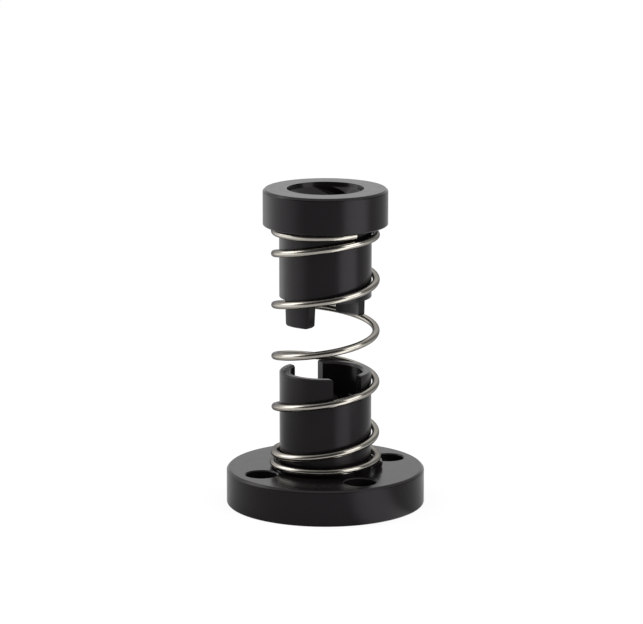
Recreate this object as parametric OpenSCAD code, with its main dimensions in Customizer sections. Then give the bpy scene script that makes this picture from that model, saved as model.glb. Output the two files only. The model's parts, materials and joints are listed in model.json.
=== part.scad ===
// Anti-backlash nut for an 8 mm trapezoidal lead screw with four starts.
// The flanged nut bolts to the carriage. The sliding nut rides on the same screw, and the
// compression spring round both barrels pushes the two nuts apart, which takes up the play.
// Two dogs on the sliding nut drop into two slots in the flanged nut, so neither can turn alone.
// Millimetres. +Z runs along the screw, and the origin is the centre of the flange's mounting face.

/* [Flange] */
// Diameter of the mounting flange
flange_d = 22; // [21:0.5:26]
// Thickness of the mounting flange
flange_t = 4; // [3:0.25:5]
// Break on the flange's upper rim
flange_rim_break = 0.25; // [0.1:0.05:0.6]
// Diameter of each bolt hole
bolt_hole_d = 3.5; // [3:0.1:3.6]
// Diameter of the circle that the bolt holes lie on
bolt_circle_d = 16; // [16:0.1:17]
// Direction of the first bolt hole
bolt_angle = 28; // [0:1:89]

/* [Barrels] */
// Outside diameter of both barrels
barrel_d = 10.2; // [9.9:0.05:10.5]
// Length of the flanged nut
flange_nut_length = 15; // [14:0.25:17]
// Length of the sliding nut, with its dogs
sliding_nut_length = 14.85; // [14:0.05:17]
// Break on the barrels' turned edges
edge_break = 0.15; // [0.05:0.05:0.25]

/* [Head of the sliding nut] */
// Diameter of the head
head_d = 13.8; // [13.2:0.1:16]
// Thickness of the head
head_t = 4; // [3:0.25:5]
// Break on the head's upper rim
head_rim_break = 0.25; // [0.1:0.05:0.6]

/* [Thread] */
// Diameter over the crests of the nut thread
thread_crest_d = 6; // [5.8:0.05:6.4]
// Diameter at the roots of the nut thread
thread_root_d = 8.5; // [8.1:0.05:8.6]

/* [Dog clutch] */
// Diameter of the plain socket behind the dogs and the slots
socket_d = 8.2; // [8.1:0.05:8.6]
// Depth of the socket past the root of the dogs or the floor of the slots
socket_extra = 0.75; // [0.25:0.25:2]
// Width of each dog at its root
dog_w = 3.45; // [2.6:0.05:3.6]
// Length of each dog
dog_length = 2.85; // [1.5:0.05:3.5]
// Lean of each side of a dog, so that it finds its slot
dog_draft = 2.5; // [0.5:0.5:5]
// Radius on the tips of the dogs
dog_tip_r = 0.4; // [0.1:0.05:0.5]
// Break on the barrel's outer edge between the dogs
shoulder_break = 0.25; // [0.1:0.05:0.4]
// Clearance between a dog's root and each wall of its slot
clutch_side_gap = 0.05; // [0.05:0.05:0.3]
// Depth of the slots
slot_depth = 2.75; // [1.5:0.25:3.5]
// Direction of the first dog, with the clutch disengaged
dog_angle = 50; // [0:1:89]
// Direction of the first slot
slot_angle = 120; // [90:1:179]

/* [Spring] */
// Wire diameter
wire_d = 0.8; // [0.6:0.05:0.9]
// Clearance between the coils and the barrels
coil_gap = 0.1; // [0.05:0.05:0.2]
// Free length between the flange and the head
spring_length = 27.4; // [25:0.1:30]
// Turns of wire in all
spring_turns = 6.87; // [6:0.01:8]
// Closed turns on the flange
closed_turns_low = 1.65; // [0.75:0.05:1.75]
// Closed turns under the head
closed_turns_high = 1; // [0.75:0.05:1.5]
// Direction of the wire's lower end
spring_start_angle = -8; // [-180:1:180]
// How far the wire's lower end stands out from the coil
end_flare = 0.25; // [0:0.05:0.4]

/* [Hidden] */

$fn = 96;

// Overshoot of every cut past the face that it opens
cut = 1;
// Break on the flange's and head's lower rims
lower_break = 0.1;
// Lead-in chamfer at the plain end of each thread, measured along the radius
lead_in = (thread_root_d - thread_crest_d) / 2;

slot_w = dog_w + 2 * clutch_side_gap;
// The slots' mouth corners are broken a little wider than the turned edges that they run into
mouth_break = edge_break + 0.05;
// The socket's mouth is broken a little wider again
socket_break = mouth_break + 0.05;
head_seat_z = flange_t + spring_length;
head_top_z = head_seat_z + head_t;
// Where the dogs start, measured from the top of the head
dogs_z = sliding_nut_length - dog_length;

// Rings of the spring's mesh in each turn, and points in each ring
rings_per_turn = 30;
ring_sides = 10;
// Closed turns lie one wire apart, with a hair of space between them
closed_pitch = 1.05 * wire_d;
// Turns over which the closed pitch opens out to the working pitch
opening_turns = 1 / 3;
coil_r = (barrel_d + wire_d) / 2 + coil_gap;
closed_rise = closed_pitch * spring_turns;
opening_at = closed_turns_low;
closing_at = spring_turns - closed_turns_high;
working_rise = (spring_length - wire_d - closed_rise) / (closing_at - opening_at);

// Half a nut's section, with r along X: the plain end is at z = 0 and the clutch end at z = length.
// The rim at the plain end is the flange or the head, and outer_break is the one on its far edge.
module nut_section(length, rim_d, rim_t, outer_break, inner_break, socket_depth) {
    rim_r = rim_d / 2;
    barrel_r = barrel_d / 2;
    socket_r = socket_d / 2;
    crest_r = thread_crest_d / 2;
    socket_z = length - socket_depth;
    polygon([
        [crest_r + lead_in, 0],
        [rim_r - outer_break, 0],
        [rim_r, outer_break],
        [rim_r, rim_t - inner_break],
        [rim_r - inner_break, rim_t],
        [barrel_r, rim_t],
        [barrel_r, length - edge_break],
        [barrel_r - edge_break, length],
        [socket_r + socket_break, length],
        [socket_r, length - socket_break],
        [socket_r, socket_z],
        [crest_r, socket_z - (socket_r - crest_r)],
        [crest_r, lead_in]
    ]);
}

// A bar through the axis whose section across it is the child outline, drawn with +Y as +Z
module crossbar(angle) {
    rotate([90, 0, angle + 90])
        linear_extrude(height = barrel_d + 2 * cut, center = true)
            children();
}

// The space that a pair of slots takes out of the clutch end, with broken mouth corners
module slot_outline() {
    half = slot_w / 2;
    mouth_z = flange_nut_length;
    floor_z = mouth_z - slot_depth;
    polygon([
        [-half, floor_z],
        [half, floor_z],
        [half, mouth_z - mouth_break],
        [half + mouth_break, mouth_z],
        [half + mouth_break, mouth_z + cut],
        [-half - mouth_break, mouth_z + cut],
        [-half - mouth_break, mouth_z],
        [-half, mouth_z - mouth_break]
    ]);
}

// A pair of dogs seen from the side, tips up, with leaning sides, round corners and a root that
// reaches into the barrel
module dog_outline() {
    root_z = dogs_z - cut;
    root_half = dog_w / 2 + cut * tan(dog_draft);
    corner_z = sliding_nut_length - dog_tip_r;
    corner_x = dog_w / 2 - (corner_z - dogs_z) * tan(dog_draft) - dog_tip_r / cos(dog_draft);
    touch = dog_tip_r * [cos(dog_draft), sin(dog_draft)];
    polygon([
        [-root_half, root_z],
        [root_half, root_z],
        [corner_x + touch.x, corner_z + touch.y],
        [corner_x, sliding_nut_length],
        [-corner_x, sliding_nut_length],
        [-corner_x - touch.x, corner_z + touch.y]
    ]);
    for (side = [-1, 1])
        translate([side * corner_x, corner_z])
            circle(r = dog_tip_r, $fn = 32);
}

// Everything beyond the barrel's end face and its broken edge, apart from the two dogs
module dog_relief() {
    barrel_r = barrel_d / 2;
    difference() {
        rotate_extrude()
            polygon([
                [0, dogs_z],
                [barrel_r - shoulder_break, dogs_z],
                [barrel_r + cut / 2, dogs_z - shoulder_break - cut / 2],
                [barrel_r + cut / 2, sliding_nut_length + cut],
                [0, sliding_nut_length + cut]
            ]);
        crossbar(0) dog_outline();
    }
}

module bolt_holes() {
    for (i = [0 : 3])
        rotate(bolt_angle + 90 * i)
            translate([bolt_circle_d / 2, 0, -cut])
                cylinder(h = flange_t + 2 * cut, d = bolt_hole_d, $fn = 48);
}

// The nut that bolts to the carriage: flange, barrel and slotted clutch end
module flange_nut() {
    color("#1d1d1f")
        difference() {
            rotate_extrude()
                nut_section(flange_nut_length, flange_d, flange_t, lower_break, flange_rim_break,
                            slot_depth + socket_extra);
            bolt_holes();
            crossbar(slot_angle) slot_outline();
        }
}

// The nut that the spring pushes away: head up, dogs down
module sliding_nut() {
    color("#1d1d1f")
        translate([0, 0, head_top_z])
            rotate([180, 0, 0])
                difference() {
                    rotate_extrude()
                        nut_section(sliding_nut_length, head_d, head_t, head_rim_break, lower_break,
                                    dog_length + socket_extra);
                    rotate(-dog_angle) dog_relief();
                }
}

// Area under a smooth step that runs from 0 to 1 as x does
function smooth_rise(x) = x <= 0 ? 0 : x >= 1 ? x - 0.5 : pow(x, 3) - pow(x, 4) / 2;

// Working turns wound by turn t, counted from a change of pitch centred on turn at
function opened(t, at) = opening_turns * smooth_rise((t - at) / opening_turns + 0.5);

// Height of the wire's centre above its lower end, and its distance from the axis, at turn t
function wire_z(t) = closed_pitch * t + working_rise * (opened(t, opening_at) - opened(t, closing_at));
function wire_r(t) = coil_r + end_flare * pow(max(0, 1 - 3 * t), 2);

function wire_point(t) =
    let (a = spring_start_angle + 360 * t)
    [wire_r(t) * cos(a), wire_r(t) * sin(a), flange_t + wire_d / 2 + wire_z(t)];

function unit(v) = v / norm(v);

// One ring of points round the wire at turn t
function wire_ring(t) =
    let (step = 0.001,
         along = unit(wire_point(t + step) - wire_point(t - step)),
         a = spring_start_angle + 360 * t,
         side = unit(cross(cross(along, [cos(a), sin(a), 0]), along)),
         up = cross(side, along))
    [for (k = [0 : ring_sides - 1])
        let (b = 360 * k / ring_sides)
        wire_point(t) + wire_d / 2 * (cos(b) * side + sin(b) * up)];

// The compression spring: round wire with a closed, unground turn at each end
module preload_spring() {
    rings = ceil(spring_turns * rings_per_turn);
    points = [for (i = [0 : rings]) each wire_ring(spring_turns * i / rings)];
    quads = [for (i = [0 : rings - 1], k = [0 : ring_sides - 1])
        let (n = (k + 1) % ring_sides,
             low = i * ring_sides,
             high = low + ring_sides)
        [low + k, low + n, high + n, high + k]];
    walls = [for (q = quads) each [[q[0], q[1], q[2]], [q[0], q[2], q[3]]]];
    first_end = [for (k = [ring_sides - 1 : -1 : 0]) k];
    last_end = [for (k = [0 : ring_sides - 1]) rings * ring_sides + k];
    color("silver")
        polyhedron(points, concat(walls, [first_end, last_end]));
}

flange_nut();
preload_spring();
sliding_nut();
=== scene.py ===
import cmath
import json
import math

import bpy
import numpy as np
from mathutils import Matrix, Vector


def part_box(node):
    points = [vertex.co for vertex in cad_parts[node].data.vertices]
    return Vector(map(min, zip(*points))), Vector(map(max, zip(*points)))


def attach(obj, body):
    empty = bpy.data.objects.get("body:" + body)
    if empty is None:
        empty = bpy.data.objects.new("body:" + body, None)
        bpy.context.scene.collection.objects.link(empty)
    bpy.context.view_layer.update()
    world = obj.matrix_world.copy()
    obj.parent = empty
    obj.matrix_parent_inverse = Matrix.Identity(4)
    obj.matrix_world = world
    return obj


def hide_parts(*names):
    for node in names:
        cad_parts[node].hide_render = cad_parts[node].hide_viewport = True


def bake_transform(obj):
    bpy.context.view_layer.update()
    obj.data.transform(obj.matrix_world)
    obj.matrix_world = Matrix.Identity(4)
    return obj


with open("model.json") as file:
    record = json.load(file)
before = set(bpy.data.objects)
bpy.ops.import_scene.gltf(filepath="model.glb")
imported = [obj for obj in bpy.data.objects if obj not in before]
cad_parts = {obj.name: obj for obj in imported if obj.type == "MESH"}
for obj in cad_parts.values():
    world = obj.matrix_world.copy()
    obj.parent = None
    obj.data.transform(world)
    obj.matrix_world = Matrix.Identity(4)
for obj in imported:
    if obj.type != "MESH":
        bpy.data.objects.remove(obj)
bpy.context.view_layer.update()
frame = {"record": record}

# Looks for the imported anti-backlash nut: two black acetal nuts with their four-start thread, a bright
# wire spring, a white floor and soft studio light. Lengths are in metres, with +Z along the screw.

MM = 0.001

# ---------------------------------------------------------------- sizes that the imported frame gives

MOUNTS = {mount["name"]: mount["dims"] for mount in frame["record"]["mounts"]}
FLANGE_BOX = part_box("flange_nut")
SPRING_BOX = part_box("preload_spring")
SLIDING_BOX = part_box("sliding_nut")

FLANGE_NUT_LENGTH = FLANGE_BOX[1].z - FLANGE_BOX[0].z
SLIDING_NUT_LENGTH = SLIDING_BOX[1].z - SLIDING_BOX[0].z
FLANGE_R = (FLANGE_BOX[1].x - FLANGE_BOX[0].x) / 2
FLANGE_T = SPRING_BOX[0].z - FLANGE_BOX[0].z
HEAD_R = (SLIDING_BOX[1].x - SLIDING_BOX[0].x) / 2
HEAD_T = SLIDING_BOX[1].z - SPRING_BOX[1].z
CREST_R = MOUNTS["flange_nut_thread"]["r_mm"] * MM

# ---------------------------------------------------------------- sizes that the parts are made to

BARREL_R = 5.1 * MM
SOCKET_R = 4.1 * MM
MOUTH_R = 4.25 * MM
RIM_BREAK = 0.25 * MM
LOWER_BREAK = 0.1 * MM
EDGE_BREAK = 0.15 * MM
SOCKET_BREAK = 0.25 * MM
SHOULDER_BREAK = 0.25 * MM
CORNER = 0.05 * MM

# A rim's two corners are rounded to this share of its break.
CORNER_SHARE = 0.6

# Guard points hold the shading beside a round, and cuts run past the surface by the overshoot.
GUARD = 0.02 * MM
OVERSHOOT = 1 * MM
ACROSS_BARREL = 2 * (BARREL_R + OVERSHOOT)
SHARP_ANGLE = math.radians(32)

BOLT_HOLE_R = 1.75 * MM
BOLT_CIRCLE_R = 8 * MM
BOLT_ANGLE = math.radians(28)
BOLT_BREAK = 0.12 * MM

PITCH = 2 * MM
STARTS = 4
LEAD = STARTS * PITCH
FLANK = math.radians(15)
PITCH_R = 3.5 * MM
THREAD_ROUND = 0.07 * MM
FLANGE_THREAD_PHASE = 0
SLIDING_THREAD_PHASE = 0.65 * MM

# The bore's mouth narrows steeply over the neck and then at 45 degrees down to the thread.
NECK_DEPTH = 0.5 * MM

# Spacing of the thread's points: rows where it meets a cone, rows elsewhere, and columns.
FINE_ROW = 0.05 * MM
PLAIN_ROW = 0.1 * MM
COLUMN_STEP = 3 * FINE_ROW

DOG_W = 3.45 * MM
DOG_LENGTH = 2.85 * MM
DOG_DRAFT = math.radians(2.5)
DOG_TIP_R = 0.4 * MM
DOG_TIP_POINTS = 7
DOG_ANGLE = math.radians(50)
SLOT_W = 3.55 * MM
SLOT_DEPTH = 2.75 * MM
SLOT_ANGLE = math.radians(120)
SLOT_MOUTH_ROUND = 0.15 * MM
SLOT_MOUTH_ARC = [math.radians(a) for a in (112, 135, 157, 180)]
SLOT_EDGE_BREAK = 0.08 * MM

# The plain socket is this much deeper than the slots, and than the dogs are long.
SOCKET_EXTRA = 0.75 * MM

WIRE_R = 0.4 * MM
COIL_R = 5.6 * MM
SPRING_START = math.radians(-8)
POINTS_PER_TURN = 72
WIRE_SIDES = 24

# Turns in all, closed turns at the lower and upper end, and the turns over which the pitch changes.
SPRING_TURNS = 6.87
CLOSED_LOW = 1.65
CLOSED_HIGH = 1.0
OPENING_TURNS = 1 / 3
CLOSED_PITCH = 1.05 * 2 * WIRE_R

# The lowest coil flares and sags. Each change starts and ends at these turns, counted up the wire.
END_FLARE = 0.2 * MM
END_FLARE_FADES = (0, 0.3)
SEAT_FLARE = 0.2 * MM
SEAT_FLARE_FADES = (1, 2)
SEAT_SAG = 0.35 * MM
SEAT_SAG_GROWS = (0, 0.6)
SEAT_SAG_FADES = (0.78, 1.1)

# ---------------------------------------------------------------- finishes

ACETAL_TONES = ((0.0062, 0.0053, 0.0058, 1), (0.0088, 0.0075, 0.0082, 1))
ACETAL_ROUGHNESS = (0.17, 0.25)
ACETAL_ROUGHNESS_DRIFT = 0.03
ACETAL_IOR = 1.26
ACETAL_TINT = (1, 0.95, 1, 1)
ACETAL_GRAIN_SHARE = 0.6
ACETAL_RELIEF = 0.003 * MM

# Chamfers are painted a little paler, a painted highlight that stands in for their edges catching the
# light. A face is one when its normal's height is within the first distance of this value, and less and
# less so out to the second.
ACETAL_CHAMFER_HIGHLIGHT = (0.027, 0.025, 0.026, 1)
CHAMFER_NORMAL_Z = 0.7
CHAMFER_SPREAD = (0.05, 0.25)

WIRE_TONES = ((0.34, 0.32, 0.285, 1), (0.50, 0.475, 0.43, 1))
WIRE_ROUGHNESS = (0.14, 0.24)
WIRE_ROUGHNESS_DRIFT = 0.02
WIRE_EDGE_TINT = (0.3, 0.3, 0.32, 1)
WIRE_LINE_STRETCH = 0.04
WIRE_RELIEF = 0.002 * MM

BUMP_STRENGTH = 0.3
WHITE = (1, 1, 1, 1)

# ---------------------------------------------------------------- stage, in metres, degrees and watts

RIGHT_LAMP = -32
LEFT_LAMP = 172
LAMP_ELEVATION = 30
LAMP_DISTANCE = 0.5
LAMP_HEIGHT = 0.35
RIGHT_LAMP_WIDTH = 0.3
LEFT_LAMP_WIDTH = 0.35
LAMP_WATTS = 0.9

FLOOR_HALF = 3
FLOOR_ROUGHNESS = 0.9
FLOOR_TONE = (0.8, 0.8, 0.8, 1)
FLOOR_TONE_SEEN = (0.2, 0.2, 0.2, 1)
FLOOR_GLOW = 0.88

# What glossy surfaces see: patches of painted glow on the floor that stand in for the lamps' reflections,
# towards the lamps, near the part and far from it, over an even level, and a room that is darker in front
# and at the right.
NEAR_FLOOR_FADES = (0.03, 0.11)
NEAR_PATCH = {"turn": RIGHT_LAMP - 16, "core": 4, "edge": 24, "strength": 1.5}
NEAR_LEVEL = 0.14
FAR_RIGHT_PATCH = {"turn": RIGHT_LAMP, "core": 6, "edge": 32, "strength": 2.3}
FAR_LEFT_PATCH = {"turn": LEFT_LAMP, "core": 12, "edge": 60, "strength": 1.1}
FAR_LEVEL = 0.1
FRONT_OF_ROOM = {"start": -0.7, "end": 0.5, "low": 0.04, "high": 1}
RIGHT_OF_ROOM = {"start": 0.35, "end": 0.8, "low": 1, "high": 0.3}
AMBIENT = 0.5

FOCAL_MM = 186.38
SENSOR_MM = 36
EYE = (-0.43 * MM, -359.47 * MM, 98.18 * MM)
LOOK_DOWN = 12.036
CLIP_NEAR = 0.01
CLIP_FAR = 20


# ---------------------------------------------------------------- outlines

def corner_arc(before, here, after, size, segments=4):
    """Points r + iz that round the corner here to radius size, with a guard point on each side."""
    back = (before - here) / abs(before - here)
    ahead = (after - here) / abs(after - here)
    half = abs(cmath.phase(ahead / back)) / 2
    reach = size / math.tan(half)
    centre = here + (back + ahead) / abs(back + ahead) * size / math.sin(half)
    start = here + back * reach - centre
    sweep = cmath.phase((here + ahead * reach - centre) / start)
    arc = [centre + start * cmath.exp(1j * sweep * k / segments) for k in range(segments + 1)]
    return [arc[0] + back * GUARD] + arc + [arc[-1] + ahead * GUARD]


def outline(corners):
    """An open line through (r, z, radius) corners; a radius of 0 leaves the corner sharp."""
    places = [complex(r, z) for r, z, _ in corners]
    line = []
    for k, (_, _, size) in enumerate(corners):
        if size:
            line += corner_arc(places[k - 1], places[k], places[k + 1], size)
        else:
            line.append(places[k])
    return line


def stepped(line, step):
    """The same line with its long segments divided, so that no step along it is longer than step."""
    fine = [line[0]]
    for a, b in zip(line, line[1:]):
        count = math.ceil(abs(b - a) / step)
        fine += [a + (b - a) * k / count for k in range(1, count + 1)]
    return fine


# ---------------------------------------------------------------- thread

def thread_columns():
    """Where the thread's columns of points lie along the axis, over one lead, and their radii."""
    root_half = PITCH / 4 - (SOCKET_R - PITCH_R) * math.tan(FLANK)
    crest_half = PITCH / 4 + (PITCH_R - CREST_R) * math.tan(FLANK)
    corners = [
        (0, SOCKET_R, 0),
        (root_half, SOCKET_R, THREAD_ROUND),
        (crest_half, CREST_R, THREAD_ROUND),
        (PITCH / 2, CREST_R, 0),
    ]
    half = stepped(outline(corners), COLUMN_STEP)
    along = np.array([p.real for p in half])
    radius = np.array([p.imag for p in half])
    along = np.concatenate([along, PITCH - along[-2:0:-1]])
    radius = np.concatenate([radius, radius[-2:0:-1]])
    starts = PITCH * np.arange(STARTS)
    return (starts[:, None] + along).ravel(), np.tile(radius, STARTS)


def thread_rows(socket_z, lead_in):
    """Heights of the thread's rows, from the socket's floor down to the plain end, finer at both ends."""
    cone = SOCKET_R - CREST_R
    top = np.arange(socket_z - FINE_ROW, socket_z - cone - PLAIN_ROW, -FINE_ROW)
    middle = np.arange(top[-1] - PLAIN_ROW, lead_in + PLAIN_ROW, -PLAIN_ROW)
    bottom = np.linspace(middle[-1], 0, round(middle[-1] / FINE_ROW) + 1)[1:]
    return np.concatenate([top, middle, bottom])


# ---------------------------------------------------------------- turned bodies

def ring(radius, z, turns):
    """One closed ring of points round the axis."""
    radius = np.broadcast_to(radius, turns.shape)
    return np.stack([radius * np.cos(turns), radius * np.sin(turns), np.full(turns.shape, z)], axis=1)


def roll_between(first, second):
    """By how many columns the second ring is rolled against the first."""
    angles = [math.atan2(points[0][1], points[0][0]) for points in (first, second)]
    return round((angles[1] - angles[0]) / (2 * math.pi) * len(first))


def skin(name, outer, inner):
    """A closed body whose outer rings run up the outside and whose inner rings run down the bore."""
    rings = outer + inner
    columns = len(rings[0])
    here = np.arange(columns)
    beside = (here + 1) % columns
    faces = []
    for k in range(len(rings)):
        following = (k + 1) % len(rings)
        turned = k == len(outer) - 1 or k == len(rings) - 1
        roll = roll_between(rings[k], rings[following]) if turned else 0
        a, b = k * columns, following * columns
        near = b + (here + roll) % columns
        far = b + (beside + roll) % columns
        faces.append(np.stack([a + here, near, far, a + beside], axis=1))
    mesh = bpy.data.meshes.new(name)
    mesh.from_pydata(np.concatenate(rings).tolist(), [], np.concatenate(faces).tolist())
    mesh.update()
    return mesh


def turned_nut(name, length, rim_r, rim_t, end_break, seat_break, socket_depth, phase):
    """A nut before the cuts across it: plain end at z = 0, clutch end up, right-hand thread inside."""
    socket_z = length - socket_depth
    middle_r = (BARREL_R + SOCKET_R) / 2
    outside = outline([
        (MOUTH_R, 0, 0),
        (rim_r - end_break, 0, end_break * CORNER_SHARE),
        (rim_r, end_break, end_break * CORNER_SHARE),
        (rim_r, rim_t - seat_break, seat_break * CORNER_SHARE),
        (rim_r - seat_break, rim_t, seat_break * CORNER_SHARE),
        (BARREL_R, rim_t, 0),
        (BARREL_R, length - EDGE_BREAK, CORNER),
        (BARREL_R - EDGE_BREAK, length, CORNER),
        (middle_r, length, 0),
    ])
    inside = outline([
        (middle_r, length, 0),
        (SOCKET_R + SOCKET_BREAK, length, CORNER),
        (SOCKET_R, length - SOCKET_BREAK, CORNER),
        (SOCKET_R, socket_z, 0),
    ])
    along, thread_r = thread_columns()
    even = -2 * math.pi * np.arange(len(along)) / len(along)
    outer = [ring(p.real, p.imag, even) for p in outside[1:-1]]
    inner = [ring(p.real, p.imag, 2 * math.pi * (socket_z - along - phase) / LEAD) for p in inside]
    for z in thread_rows(socket_z, NECK_DEPTH + SOCKET_R - CREST_R):
        neck = MOUTH_R - (MOUTH_R - SOCKET_R) * z / NECK_DEPTH
        cones = max(min(neck, SOCKET_R + NECK_DEPTH - z), SOCKET_R - (socket_z - z))
        turns = 2 * math.pi * (z - along - phase) / LEAD
        inner.append(ring(np.maximum(thread_r, cones), z, turns))
    return skin(name, outer, inner)


# ---------------------------------------------------------------- cuts

def add_piece(name, mesh):
    """A new object in the scene that shows this mesh."""
    piece = bpy.data.objects.new(name, mesh)
    bpy.context.scene.collection.objects.link(piece)
    return piece


def bar(section, length, angle):
    """A bar through the axis whose section is the line of x + iz points, turned to lie along angle."""
    half = length / 2
    count = len(section)
    turn = Matrix.Rotation(angle - math.pi / 2, 3, "Z")
    points = [turn @ Matrix.Translation((p.real, y, p.imag)).translation
              for y in (-half, half) for p in section]
    sides = [(k, (k + 1) % count, count + (k + 1) % count, count + k) for k in range(count)]
    return points, sides + [tuple(range(count - 1, -1, -1)), tuple(range(count, 2 * count))]


def post(section, centre, sides=64):
    """An upright post whose half section is the line of r + iz points, about centre."""
    turns = 2 * math.pi * np.arange(sides) / sides
    points = [tuple(p + (*centre, 0)) for s in section for p in ring(s.real, s.imag, turns)]
    walls = [(k * sides + i, k * sides + (i + 1) % sides, (k + 1) * sides + (i + 1) % sides,
              (k + 1) * sides + i) for k in range(len(section) - 1) for i in range(sides)]
    last = (len(section) - 1) * sides
    return points, walls + [tuple(range(sides - 1, -1, -1)), tuple(range(last, last + sides))]


def cutter(parts):
    """One object from several closed shells."""
    points, faces = [], []
    for part_points, part_faces in parts:
        faces += [tuple(len(points) + i for i in face) for face in part_faces]
        points += part_points
    mesh = bpy.data.meshes.new("cutter")
    mesh.from_pydata(points, [], faces)
    return add_piece("cutter", mesh)


def slot_bar():
    """The space of the two slots, with their mouth corners rounded over."""
    half = SLOT_W / 2
    mouth_z = FLANGE_NUT_LENGTH
    floor_z = mouth_z - SLOT_DEPTH
    over_z = mouth_z + OVERSHOOT
    wide = half + SLOT_MOUTH_ROUND
    right = [complex(wide, over_z), complex(wide, mouth_z)]
    arc = [complex(wide, mouth_z - SLOT_MOUTH_ROUND)
           + SLOT_MOUTH_ROUND * cmath.exp(1j * a) for a in SLOT_MOUTH_ARC]
    right += arc + [complex(half, floor_z)]
    left = [complex(-p.real, p.imag) for p in reversed(right)]
    return bar(left + right, ACROSS_BARREL, SLOT_ANGLE)


def slot_edge_block(side, end, radius, outward):
    """A block that breaks the upright edge between a slot's wall and the round wall of this radius."""
    half = SLOT_W / 2
    edge = Vector((side * half, end * math.sqrt(radius**2 - half**2), 0))
    away = (Vector((-side, 0, 0)) + outward * edge / radius).normalized()
    along = Vector((-away.y, away.x, 0))
    near = edge - away * SLOT_EDGE_BREAK / math.sqrt(2)
    plan = [near - along * half / 3, near + along * half / 3]
    plan += [p + away * half / 3 for p in reversed(plan)]
    turn = Matrix.Rotation(SLOT_ANGLE - math.pi / 2, 3, "Z")
    heights = (FLANGE_NUT_LENGTH - SLOT_DEPTH + GUARD, FLANGE_NUT_LENGTH + OVERSHOOT)
    points = [turn @ Vector((p.x, p.y, z)) for z in heights for p in plan]
    walls = [(k, (k + 1) % 4, 4 + (k + 1) % 4, 4 + k) for k in range(4)]
    return points, walls + [(3, 2, 1, 0), (4, 5, 6, 7)]


def slot_edges():
    """The blocks for all the slots' upright edges, on the barrel and in the socket."""
    return [slot_edge_block(side, end, radius, outward) for side in (-1, 1) for end in (-1, 1)
            for radius, outward in ((BARREL_R, 1), (SOCKET_R, -1))]


def dog_reliefs():
    """The space beside the two dogs, which lean a little and have round tips."""
    root_half = DOG_W / 2
    root_z = SLIDING_NUT_LENGTH - DOG_LENGTH
    corner_z = SLIDING_NUT_LENGTH - DOG_TIP_R
    lean = (corner_z - root_z) * math.tan(DOG_DRAFT)
    corner_x = root_half - lean - DOG_TIP_R / math.cos(DOG_DRAFT)
    over_z = SLIDING_NUT_LENGTH + OVERSHOOT
    wide = BARREL_R + OVERSHOOT
    angles = np.linspace(DOG_DRAFT, math.pi / 2, DOG_TIP_POINTS)
    arc = [complex(corner_x, corner_z) + DOG_TIP_R * cmath.exp(1j * a) for a in angles]
    right = [complex(wide, root_z), complex(root_half, root_z)] + arc
    right += [complex(corner_x, over_z), complex(wide, over_z)]
    left = [complex(-p.real, p.imag) for p in reversed(right)]
    return [bar(side, ACROSS_BARREL, -DOG_ANGLE) for side in (right, left)]


def shoulder_rings(steps=48):
    """The wedges that break the barrel's outer edge between the dogs, and stop at the dogs' sides."""
    root_z = SLIDING_NUT_LENGTH - DOG_LENGTH
    inner_r = BARREL_R - SHOULDER_BREAK
    reach = SHOULDER_BREAK + GUARD
    section = [
        (inner_r - GUARD, root_z + GUARD),
        (inner_r + reach, root_z - reach),
        (inner_r + reach, root_z + GUARD),
    ]
    parts = []
    for side in (-math.pi / 2, math.pi / 2):
        middle = side - DOG_ANGLE
        points = []
        for k in range(steps + 1):
            for r, z in section:
                open_half = math.acos(DOG_W / 2 / r)
                turn = middle - open_half + 2 * open_half * k / steps
                points.append((r * math.cos(turn), r * math.sin(turn), z))
        faces = [(3 * k + i, 3 * k + (i + 1) % 3, 3 * k + 3 + (i + 1) % 3, 3 * k + 3 + i)
                 for k in range(steps) for i in range(3)]
        parts.append((points, faces + [(2, 1, 0), (3 * steps, 3 * steps + 1, 3 * steps + 2)]))
    return parts


def bolt_posts():
    """The four bolt holes through the flange, with a small break at each face."""
    wide = BOLT_HOLE_R + BOLT_BREAK + OVERSHOOT
    section = [
        complex(wide, -OVERSHOOT),
        complex(BOLT_HOLE_R, BOLT_BREAK),
        complex(BOLT_HOLE_R, FLANGE_T - BOLT_BREAK),
        complex(wide, FLANGE_T + OVERSHOOT),
    ]
    turns = [BOLT_ANGLE + k * math.pi / 2 for k in range(4)]
    return [post(section, (BOLT_CIRCLE_R * math.cos(t), BOLT_CIRCLE_R * math.sin(t))) for t in turns]


def evaluated(piece):
    """The piece's mesh with its modifiers worked in."""
    depsgraph = bpy.context.evaluated_depsgraph_get()
    return bpy.data.meshes.new_from_object(piece.evaluated_get(depsgraph))


def machined(name, mesh, cuts):
    """The piece left when each cut's parts are taken out of mesh, its edges sharp or smooth by angle."""
    piece = add_piece(name, mesh)
    for parts in cuts:
        tool = cutter(parts)
        cut = piece.modifiers.new("cut", "BOOLEAN")
        cut.operation = "DIFFERENCE"
        cut.solver = "EXACT"
        cut.object = tool
        piece.data = evaluated(piece)
        piece.modifiers.clear()
        bpy.data.objects.remove(tool)
    piece.data.shade_smooth()
    piece.data.set_sharp_from_angle(angle=SHARP_ANGLE)
    return piece


# ---------------------------------------------------------------- spring

def smooth_rise(x):
    """Area under a smooth step that runs from 0 to 1 as x does."""
    return np.where(x <= 0, 0, np.where(x >= 1, x - 0.5, x**3 - x**4 / 2))


def opened(turn, at):
    """How many turns past at the coil has opened, with a smooth start there."""
    return OPENING_TURNS * smooth_rise((turn - at) / OPENING_TURNS + 0.5)


def step_up(turn, start, end):
    """0 before start, 1 after end, with a smooth step between."""
    x = np.clip((turn - start) / (end - start), 0, 1)
    return x * x * (3 - 2 * x)


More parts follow.
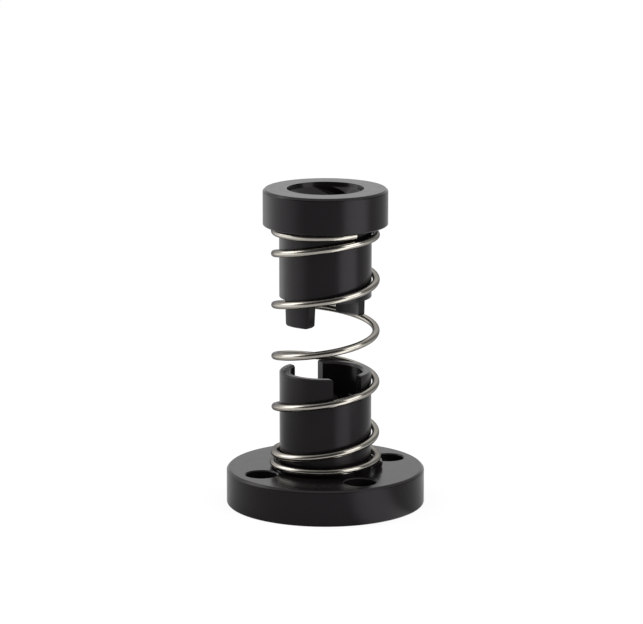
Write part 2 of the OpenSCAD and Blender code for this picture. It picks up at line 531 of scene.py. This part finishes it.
def spring_line():
    """Points along the middle of the wire. Its lowest coil is wider and lies lower than the rest."""
    turn = np.linspace(0, SPRING_TURNS, round(SPRING_TURNS * POINTS_PER_TURN) + 1)
    closing = SPRING_TURNS - CLOSED_HIGH
    length = SPRING_BOX[1].z - SPRING_BOX[0].z
    working_rise = (length - 2 * WIRE_R - CLOSED_PITCH * SPRING_TURNS) / (closing - CLOSED_LOW)
    rise = CLOSED_PITCH * turn + working_rise * (opened(turn, CLOSED_LOW) - opened(turn, closing))
    rise -= SEAT_SAG * step_up(turn, *SEAT_SAG_GROWS) * (1 - step_up(turn, *SEAT_SAG_FADES))
    seat_flare = SEAT_FLARE * (1 - step_up(turn, *SEAT_FLARE_FADES))
    flare = seat_flare + END_FLARE * (1 - step_up(turn, *END_FLARE_FADES))
    radius = COIL_R + flare
    angle = SPRING_START + 2 * math.pi * turn
    z = SPRING_BOX[0].z + WIRE_R + rise
    return np.stack([radius * np.cos(angle), radius * np.sin(angle), z], axis=1)


def wire_nodes(material):
    """Geometry nodes that draw round wire along a line, so that it stays round wherever the line's points
    move.
    """
    tree = bpy.data.node_groups.new("round_wire", "GeometryNodeTree")
    tree.interface.new_socket("Geometry", in_out="INPUT", socket_type="NodeSocketGeometry")
    tree.interface.new_socket("Geometry", in_out="OUTPUT", socket_type="NodeSocketGeometry")
    node = tree.nodes.new
    link = tree.links.new
    line = node("GeometryNodeMeshToCurve")
    circle = node("GeometryNodeCurvePrimitiveCircle")
    circle.inputs["Resolution"].default_value = WIRE_SIDES
    circle.inputs["Radius"].default_value = WIRE_R
    section = node("GeometryNodeStoreNamedAttribute")
    section.data_type = "FLOAT_VECTOR"
    section.inputs["Name"].default_value = "section"
    tube = node("GeometryNodeCurveToMesh")
    tube.inputs["Fill Caps"].default_value = True
    paint = node("GeometryNodeSetMaterial")
    paint.inputs["Material"].default_value = material
    link(node("NodeGroupInput").outputs[0], line.inputs[0])
    link(circle.outputs[0], section.inputs["Geometry"])
    link(node("GeometryNodeInputPosition").outputs[0], section.inputs["Value"])
    link(line.outputs[0], tube.inputs["Curve"])
    link(section.outputs[0], tube.inputs["Profile Curve"])
    link(tube.outputs[0], paint.inputs["Geometry"])
    link(paint.outputs[0], node("NodeGroupOutput").inputs[0])
    return tree


def spring_piece(material):
    """The wire's middle line as a mesh, with a modifier that draws the wire round it."""
    points = spring_line()
    mesh = bpy.data.meshes.new("coil_spring")
    mesh.from_pydata(points.tolist(), [(k, k + 1) for k in range(len(points) - 1)], [])
    steps = np.linalg.norm(np.diff(points, axis=0), axis=1)
    along = mesh.attributes.new("along", "FLOAT", "POINT")
    along.data.foreach_set("value", np.concatenate([[0], np.cumsum(steps)]).astype(np.float32))
    mesh.materials.append(material)
    piece = add_piece("coil_spring", mesh)
    wire = piece.modifiers.new("wire", "NODES")
    wire.node_group = wire_nodes(material)
    return piece


# ---------------------------------------------------------------- materials

def blank_material(name):
    """A new material, its node maker, its link maker and its shader."""
    material = bpy.data.materials.new(name)
    material.use_nodes = True
    tree = material.node_tree
    return material, tree.nodes.new, tree.links.new, tree.nodes["Principled BSDF"]


def maths(node, link, operation, *values):
    """A math node whose inputs are numbers or other nodes' outputs."""
    result = node("ShaderNodeMath")
    result.operation = operation
    for socket, value in zip(result.inputs, values):
        if isinstance(value, (int, float)):
            socket.default_value = value
        else:
            link(value, socket)
    return result.outputs[0]


def spread(node, link, value, low, high):
    """Maps a 0 to 1 value to the range low to high."""
    result = node("ShaderNodeMapRange")
    result.inputs["To Min"].default_value = low
    result.inputs["To Max"].default_value = high
    link(value, result.inputs["Value"])
    return result.outputs["Result"]


def noise(node, link, coordinate, scale, detail, dimensions="3D"):
    """Noise between 0 and 1, over a vector or, in 1D, over a number."""
    result = node("ShaderNodeTexNoise")
    result.noise_dimensions = dimensions
    result.inputs["Scale"].default_value = scale
    result.inputs["Detail"].default_value = detail
    link(coordinate, result.inputs["W" if dimensions == "1D" else "Vector"])
    return result.outputs["Fac"]


def blended_tone(node, link, tones, factor):
    """The first of two tones where factor is 0 and the second where it is 1."""
    tone = node("ShaderNodeMix")
    tone.data_type = "RGBA"
    for name, value in zip("AB", tones):
        if isinstance(value, tuple):
            tone.inputs[name].default_value = value
        else:
            link(value, tone.inputs[name])
    link(factor, tone.inputs["Factor"])
    return tone.outputs["Result"]


def drifting(node, link, broad, limits, fine, drift):
    """A value between the limits that follows broad, plus or minus a drift that follows fine."""
    return maths(node, link, "ADD", spread(node, link, broad, *limits),
                 spread(node, link, fine, -drift, drift))


def add_relief(node, link, shader, height, distance):
    """Shallow bumps on the shader's surface, distance deep where height goes from 1 to 0."""
    bump = node("ShaderNodeBump")
    bump.inputs["Strength"].default_value = BUMP_STRENGTH
    bump.inputs["Distance"].default_value = distance
    link(height, bump.inputs["Height"])
    link(bump.outputs["Normal"], shader.inputs["Normal"])


def smooth_band(node, link, value, start, end, low, high):
    """Maps value from the range start to end onto low to high, with soft ends."""
    result = node("ShaderNodeMapRange")
    result.interpolation_type = "SMOOTHSTEP"
    for name, number in (("From Min", start), ("From Max", end), ("To Min", low), ("To Max", high)):
        result.inputs[name].default_value = number
    link(value, result.inputs["Value"])
    return result.outputs["Result"]


def chamfer_highlight_mask(node, link):
    """1 on faces that lean about 45 degrees, such as chamfers, and 0 on level and upright ones: where the
    acetal gets its painted highlight.
    """
    normal = node("ShaderNodeSeparateXYZ")
    link(node("ShaderNodeTexCoord").outputs["Normal"], normal.inputs[0])
    level = maths(node, link, "ABSOLUTE", normal.outputs["Z"])
    off = maths(node, link, "ABSOLUTE", maths(node, link, "SUBTRACT", level, CHAMFER_NORMAL_Z))
    return smooth_band(node, link, off, *CHAMFER_SPREAD, low=1, high=0)


def acetal():
    """Black acetal off the lathe: dark, a little glossy, with fine tool rings and a faint mottle, and
    chamfers painted paler as a painted highlight.
    """
    material, node, link, shader = blank_material("black_acetal_turned")
    place = node("ShaderNodeTexCoord").outputs["Object"]
    axes = node("ShaderNodeSeparateXYZ")
    link(place, axes.inputs[0])
    flat = node("ShaderNodeCombineXYZ")
    link(axes.outputs["X"], flat.inputs["X"])
    link(axes.outputs["Y"], flat.inputs["Y"])
    length = node("ShaderNodeVectorMath")
    length.operation = "LENGTH"
    link(flat.outputs[0], length.inputs[0])
    across = maths(node, link, "ADD", length.outputs["Value"], axes.outputs["Z"])
    rings = noise(node, link, across, scale=9000, detail=3, dimensions="1D")
    broad = noise(node, link, across, scale=900, detail=2, dimensions="1D")
    mottle = noise(node, link, place, scale=700, detail=5)
    grain = noise(node, link, place, scale=9000, detail=3)
    tone = blended_tone(node, link, ACETAL_TONES, mottle)
    # Painted highlight: chamfers are mixed towards a paler tone.
    chamfer_highlight_tone = blended_tone(node, link, (tone, ACETAL_CHAMFER_HIGHLIGHT), chamfer_highlight_mask(node, link))
    link(chamfer_highlight_tone, shader.inputs["Base Color"])
    sheen = drifting(node, link, mottle, ACETAL_ROUGHNESS, broad, ACETAL_ROUGHNESS_DRIFT)
    link(sheen, shader.inputs["Roughness"])
    shader.inputs["IOR"].default_value = ACETAL_IOR
    shader.inputs["Specular Tint"].default_value = ACETAL_TINT
    fine_relief = maths(node, link, "MULTIPLY", grain, ACETAL_GRAIN_SHARE)
    add_relief(node, link, shader, maths(node, link, "ADD", rings, fine_relief), ACETAL_RELIEF)
    return material


def spring_steel():
    """Drawn wire with a warm bright finish: fine die lines along it, small dull patches, a dark edge."""
    material, node, link, shader = blank_material("drawn_spring_wire")
    section = node("ShaderNodeAttribute")
    section.attribute_name = "section"
    along = node("ShaderNodeAttribute")
    along.attribute_name = "along"
    slow = node("ShaderNodeCombineXYZ")
    link(maths(node, link, "MULTIPLY", along.outputs["Fac"], WIRE_LINE_STRETCH), slow.inputs["Z"])
    place = node("ShaderNodeVectorMath")
    place.operation = "ADD"
    link(section.outputs["Vector"], place.inputs[0])
    link(slow.outputs[0], place.inputs[1])
    lines = noise(node, link, place.outputs[0], scale=14000, detail=4)
    whole = node("ShaderNodeTexCoord").outputs["Object"]
    patches = noise(node, link, whole, scale=2500, detail=4)
    link(blended_tone(node, link, WIRE_TONES, lines), shader.inputs["Base Color"])
    shader.inputs["Metallic"].default_value = 1
    shader.inputs["Specular Tint"].default_value = WIRE_EDGE_TINT
    sheen = drifting(node, link, patches, WIRE_ROUGHNESS, lines, WIRE_ROUGHNESS_DRIFT)
    link(sheen, shader.inputs["Roughness"])
    add_relief(node, link, shader, lines, WIRE_RELIEF)
    return material


def level_direction(node, link, coordinate):
    """The unit vector that points level from the axis to coordinate, as its X and Y."""
    level = node("ShaderNodeVectorMath")
    level.operation = "MULTIPLY"
    level.inputs[1].default_value = (1, 1, 0)
    link(coordinate, level.inputs[0])
    unit = node("ShaderNodeVectorMath")
    unit.operation = "NORMALIZE"
    link(level.outputs[0], unit.inputs[0])
    axes = node("ShaderNodeSeparateXYZ")
    link(unit.outputs[0], axes.inputs[0])
    return axes.outputs["X"], axes.outputs["Y"]


def lamp_glow(node, link, x, y, turn, core, edge, strength):
    """A soft patch of painted glow round the direction turn, from its core out to its edge, both in
    degrees.
    """
    facing = maths(node, link, "ADD", maths(node, link, "MULTIPLY", x, math.cos(math.radians(turn))),
                   maths(node, link, "MULTIPLY", y, math.sin(math.radians(turn))))
    return smooth_band(node, link, facing, math.cos(math.radians(edge)), math.cos(math.radians(core)),
                       0, strength)


def floor_paint():
    """White floor that keeps the contact shadow. Glossy surfaces see painted glow on it that stands in for
    the two lamps mirrored in it.
    """
    material, node, link, shader = blank_material("white_floor")
    shader.inputs["Roughness"].default_value = FLOOR_ROUGHNESS
    shader.inputs["Specular IOR Level"].default_value = 0
    path = node("ShaderNodeLightPath").outputs
    paint = blended_tone(node, link, (FLOOR_TONE, FLOOR_TONE_SEEN), path["Is Camera Ray"])
    link(paint, shader.inputs["Base Color"])
    place = node("ShaderNodeTexCoord").outputs["Object"]
    reach = node("ShaderNodeVectorMath")
    reach.operation = "LENGTH"
    link(place, reach.inputs[0])
    near = smooth_band(node, link, reach.outputs["Value"], *NEAR_FLOOR_FADES, low=1, high=0)
    far = maths(node, link, "SUBTRACT", 1, near)
    x, y = level_direction(node, link, place)
    near_glow = maths(node, link, "ADD", lamp_glow(node, link, x, y, **NEAR_PATCH), NEAR_LEVEL)
    far_lamps = maths(node, link, "ADD", lamp_glow(node, link, x, y, **FAR_RIGHT_PATCH),
                      lamp_glow(node, link, x, y, **FAR_LEFT_PATCH))
    far_glow = maths(node, link, "ADD", far_lamps, FAR_LEVEL)
    glow = maths(node, link, "ADD", maths(node, link, "MULTIPLY", near_glow, near),
                 maths(node, link, "MULTIPLY", far_glow, far))
    # Painted reflection: the floor glows in these patches for glossy rays only.
    mirrored = maths(node, link, "MULTIPLY", path["Is Glossy Ray"], glow)
    seen = maths(node, link, "MULTIPLY", path["Is Camera Ray"], FLOOR_GLOW)
    shader.inputs["Emission Color"].default_value = WHITE
    link(maths(node, link, "ADD", mirrored, seen), shader.inputs["Emission Strength"])
    return material


# ---------------------------------------------------------------- surroundings

def white_surroundings():
    """White to the camera, a room with darker sides to glossy rays, and soft ambient light to the rest."""
    world = bpy.data.worlds.new("studio")
    bpy.context.scene.world = world
    world.use_nodes = True
    node = world.node_tree.nodes.new
    link = world.node_tree.links.new
    paint = world.node_tree.nodes["Background"]
    paint.inputs["Color"].default_value = WHITE
    path = node("ShaderNodeLightPath").outputs
    direction = node("ShaderNodeTexCoord").outputs["Generated"]
    axes = node("ShaderNodeSeparateXYZ")
    link(direction, axes.inputs[0])
    front = smooth_band(node, link, axes.outputs["Y"], **FRONT_OF_ROOM)
    right = smooth_band(node, link, axes.outputs["X"], **RIGHT_OF_ROOM)
    room = maths(node, link, "MULTIPLY", front, right)
    mirrored = maths(node, link, "MULTIPLY", path["Is Glossy Ray"], room)
    direct = maths(node, link, "MAXIMUM", path["Is Camera Ray"], path["Is Transmission Ray"])
    any_seen = maths(node, link, "MAXIMUM", direct, path["Is Glossy Ray"])
    ambient = maths(node, link, "MULTIPLY", maths(node, link, "SUBTRACT", 1, any_seen), AMBIENT)
    seen = maths(node, link, "ADD", direct, mirrored)
    link(maths(node, link, "ADD", seen, ambient), paint.inputs["Strength"])


def floor():
    """The level floor under the flange, which is staging and not a piece."""
    mesh = bpy.data.meshes.new("floor")
    corners = [(x * FLOOR_HALF, y * FLOOR_HALF, 0) for x, y in ((-1, -1), (1, -1), (1, 1), (-1, 1))]
    mesh.from_pydata(corners, [], [(0, 1, 2, 3)])
    mesh.materials.append(floor_paint())
    add_piece("floor", mesh)


def softbox(name, azimuth, width):
    """A rectangular lamp that faces the middle of the object from this side."""
    light = bpy.data.lights.new(name, "AREA")
    light.shape = "RECTANGLE"
    light.size = width
    light.size_y = LAMP_HEIGHT
    light.energy = LAMP_WATTS
    lamp = bpy.data.objects.new(name, light)
    turn = Matrix.Rotation(math.radians(azimuth), 4, "Z")
    tilt = Matrix.Rotation(math.radians(90 - LAMP_ELEVATION), 4, "Y")
    middle = Matrix.Translation((0, 0, SLIDING_BOX[1].z / 2))
    stand_off = Matrix.Translation((0, 0, LAMP_DISTANCE))
    upright = Matrix.Rotation(math.pi / 2, 4, "Z")
    lamp.matrix_world = middle @ turn @ tilt @ stand_off @ upright
    bpy.context.scene.collection.objects.link(lamp)


def camera():
    """A long lens in front of the object that looks a little down on it."""
    lens = bpy.data.cameras.new("camera")
    lens.lens = FOCAL_MM
    lens.sensor_width = SENSOR_MM
    lens.clip_start = CLIP_NEAR
    lens.clip_end = CLIP_FAR
    eye = bpy.data.objects.new("camera", lens)
    eye.location = EYE
    eye.rotation_euler = (math.radians(90 - LOOK_DOWN), 0, 0)
    bpy.context.scene.collection.objects.link(eye)
    bpy.context.scene.camera = eye


# ---------------------------------------------------------------- the object

def dress(node):
    """Hides the frame's node that the piece stands in for."""
    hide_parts(node)


def build_nuts(material):
    """Both nuts, each built with its clutch end up; the sliding nut is then turned over."""
    base = turned_nut("flanged_nut", FLANGE_NUT_LENGTH, FLANGE_R, FLANGE_T, LOWER_BREAK, RIM_BREAK,
                      SLOT_DEPTH + SOCKET_EXTRA, FLANGE_THREAD_PHASE)
    base_piece = machined("flanged_nut", base, [[slot_bar()] + bolt_posts(), slot_edges()])
    top = turned_nut("dog_nut", SLIDING_NUT_LENGTH, HEAD_R, HEAD_T, RIM_BREAK, LOWER_BREAK,
                     DOG_LENGTH + SOCKET_EXTRA, SLIDING_THREAD_PHASE)
    top_piece = machined("dog_nut", top, [dog_reliefs(), shoulder_rings()])
    flip = Matrix.Translation((0, 0, SLIDING_BOX[1].z)) @ Matrix.Rotation(math.pi, 4, "X")
    top_piece.data.transform(flip)
    for piece, node in ((base_piece, "flange_nut"), (top_piece, "sliding_nut")):
        piece.data.materials.append(material)
        dress(node)
        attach(piece, node)


def build_spring(material):
    """The spring, drawn as round wire along its middle line, in place of the frame's spring."""
    piece = spring_piece(material)
    dress("preload_spring")
    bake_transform(piece)


build_nuts(acetal())
build_spring(spring_steel())
camera()
white_surroundings()
floor()
softbox("right_lamp", RIGHT_LAMP, RIGHT_LAMP_WIDTH)
softbox("left_lamp", LEFT_LAMP, LEFT_LAMP_WIDTH)

scene = bpy.context.scene
scene.view_settings.view_transform = "Standard"

bpy.context.view_layer.update()
